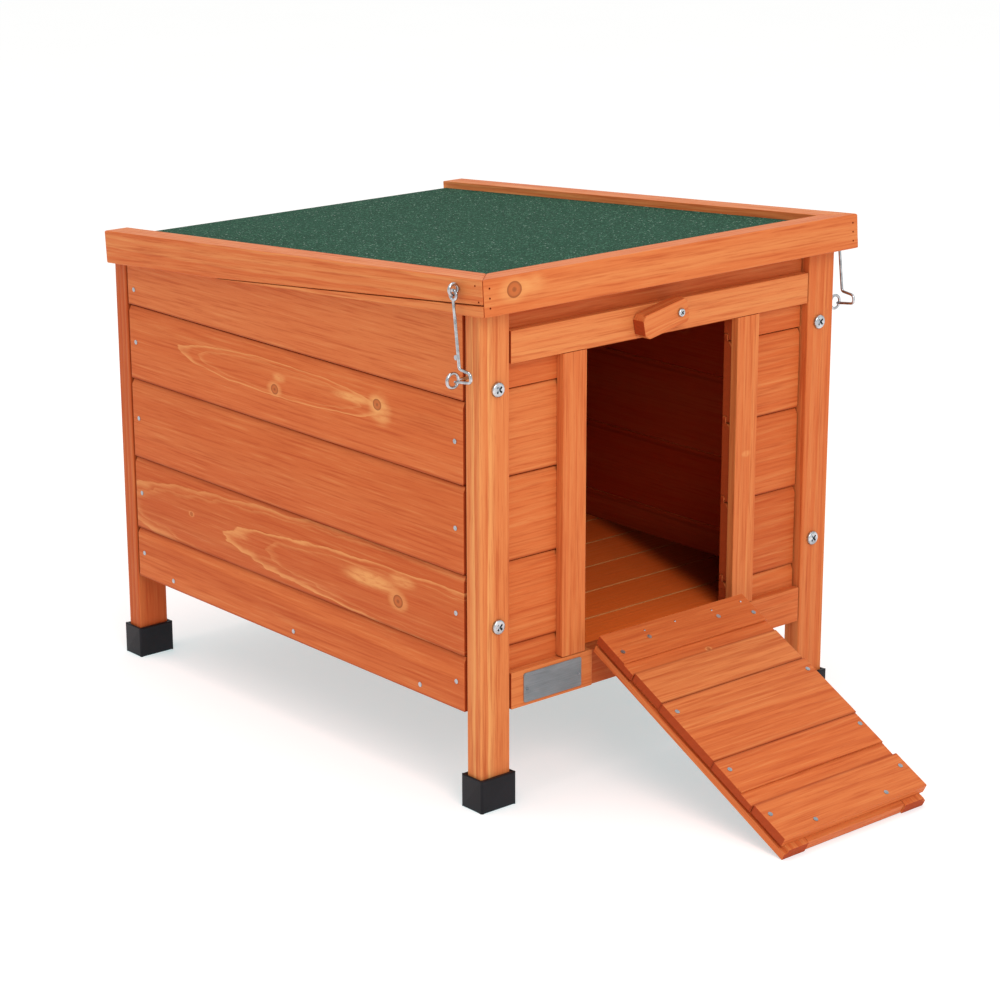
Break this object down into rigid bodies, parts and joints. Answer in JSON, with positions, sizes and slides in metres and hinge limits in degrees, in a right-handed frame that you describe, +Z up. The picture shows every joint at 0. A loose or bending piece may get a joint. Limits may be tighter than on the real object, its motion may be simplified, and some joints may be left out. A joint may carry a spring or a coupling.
{
  "type": "rabbit hutch",
  "caption": "Small pine rabbit hutch with a felt-covered pent lid hinged at the back, a drop-down ramp door, a wooden turn button and hook latches.",
  "frame": {"origin": "on the ground, under the middle of the whole object's box with the lid shut and the ramp down", "axes": "+Z up, the door and the lowered ramp face -Y, +X to the right of someone facing the door"},
  "size_m": [0.4354, 0.7278, 0.4314],
  "materials": {
    "stained_pine": "satin orange-brown stain",
    "mineral_felt": "coarse green mineral granules",
    "black_plastic": "moulded, slightly glossy",
    "zinc_hardware": "bright zinc plate",
    "zinc_wire": "bright zinc-plated wire",
    "plate_metal": "satin, blank"
  },
  "bodies": {
    "house": {"back_boards": "stained_pine", "back_bottom_rail": "stained_pine", "back_top_rail": "stained_pine", "bottom_rail_left": "stained_pine", "bottom_rail_right": "stained_pine", "door_jamb_left": "stained_pine", "door_jamb_right": "stained_pine", "floor_bearers": "stained_pine", "floor_boards": "stained_pine", "foot_cap_back_left": "black_plastic", "foot_cap_back_right": "black_plastic", "foot_cap_front_left": "black_plastic", "foot_cap_front_right": "black_plastic", "front_boards_left": "stained_pine", "front_boards_right": "stained_pine", "front_top_board": "stained_pine", "header_rail": "stained_pine", "hinge_pins": "zinc_hardware", "left_board_1": "stained_pine", "left_board_2": "stained_pine", "left_board_3": "stained_pine", "left_board_4": "stained_pine", "left_board_5": "stained_pine", "lid_hinge_fixed_leaves": "zinc_hardware", "lower_eyes": "zinc_wire", "name_plate": "plate_metal", "panel_bolts": "zinc_hardware", "post_back_left": "stained_pine", "post_back_right": "stained_pine", "post_front_left": "stained_pine", "post_front_right": "stained_pine", "ramp_hinge_fixed_leaves": "zinc_hardware", "right_board_1": "stained_pine", "right_board_2": "stained_pine", "right_board_3": "stained_pine", "right_board_4": "stained_pine", "right_board_5": "stained_pine", "sill_rail": "stained_pine", "turn_button_screw": "zinc_hardware", "upright_cleats_left": "stained_pine", "upright_cleats_right": "stained_pine", "wall_fasteners": "zinc_hardware"},
    "lid": {"lid_fasteners": "zinc_hardware", "lid_hinge_moving_leaves": "zinc_hardware", "lid_rear_batten": "stained_pine", "lid_rim_front": "stained_pine", "lid_rim_left": "stained_pine", "lid_rim_right": "stained_pine", "lid_wedges": "stained_pine", "roof_deck": "stained_pine", "roof_felt": "mineral_felt", "upper_eyes": "zinc_wire"},
    "ramp": {"ramp_boards": "stained_pine", "ramp_cross_battens": "stained_pine", "ramp_fasteners": "zinc_hardware", "ramp_hinge_moving_leaves": "zinc_hardware", "ramp_side_rails": "stained_pine"},
    "turn_button": {"turn_button": "stained_pine"},
    "hook_left": {"hook_left": "zinc_wire"},
    "hook_right": {"hook_right": "zinc_wire"}
  },
  "joints": [
    {"name": "lid_hinge", "type": "hinge", "parent": "house", "child": "lid", "pos_m": [0, 0.36151, 0.3655], "axis": [-1, 0, 0], "range_deg": [0, 95]},
    {"name": "ramp_hinge", "type": "hinge", "parent": "house", "child": "ramp", "pos_m": [0, -0.14279, 0.1093], "axis": [-1, 0, 0], "range_deg": [0, 117.54]},
    {"name": "turn_button_pivot", "type": "hinge", "parent": "house", "child": "turn_button", "pos_m": [0.003, -0.14754, 0.3765], "axis": [0, -1, 0], "range_deg": [-11, 160]},
    {"name": "hook_left_pivot", "type": "hinge", "parent": "lid", "child": "hook_left", "pos_m": [-0.2109, -0.13029, 0.417], "axis": [-1, 0, 0], "range_deg": [-7, 110]},
    {"name": "hook_right_pivot", "type": "hinge", "parent": "lid", "child": "hook_right", "pos_m": [0.2109, -0.13029, 0.417], "axis": [-1, 0, 0], "range_deg": [-7, 110]}
  ]
}
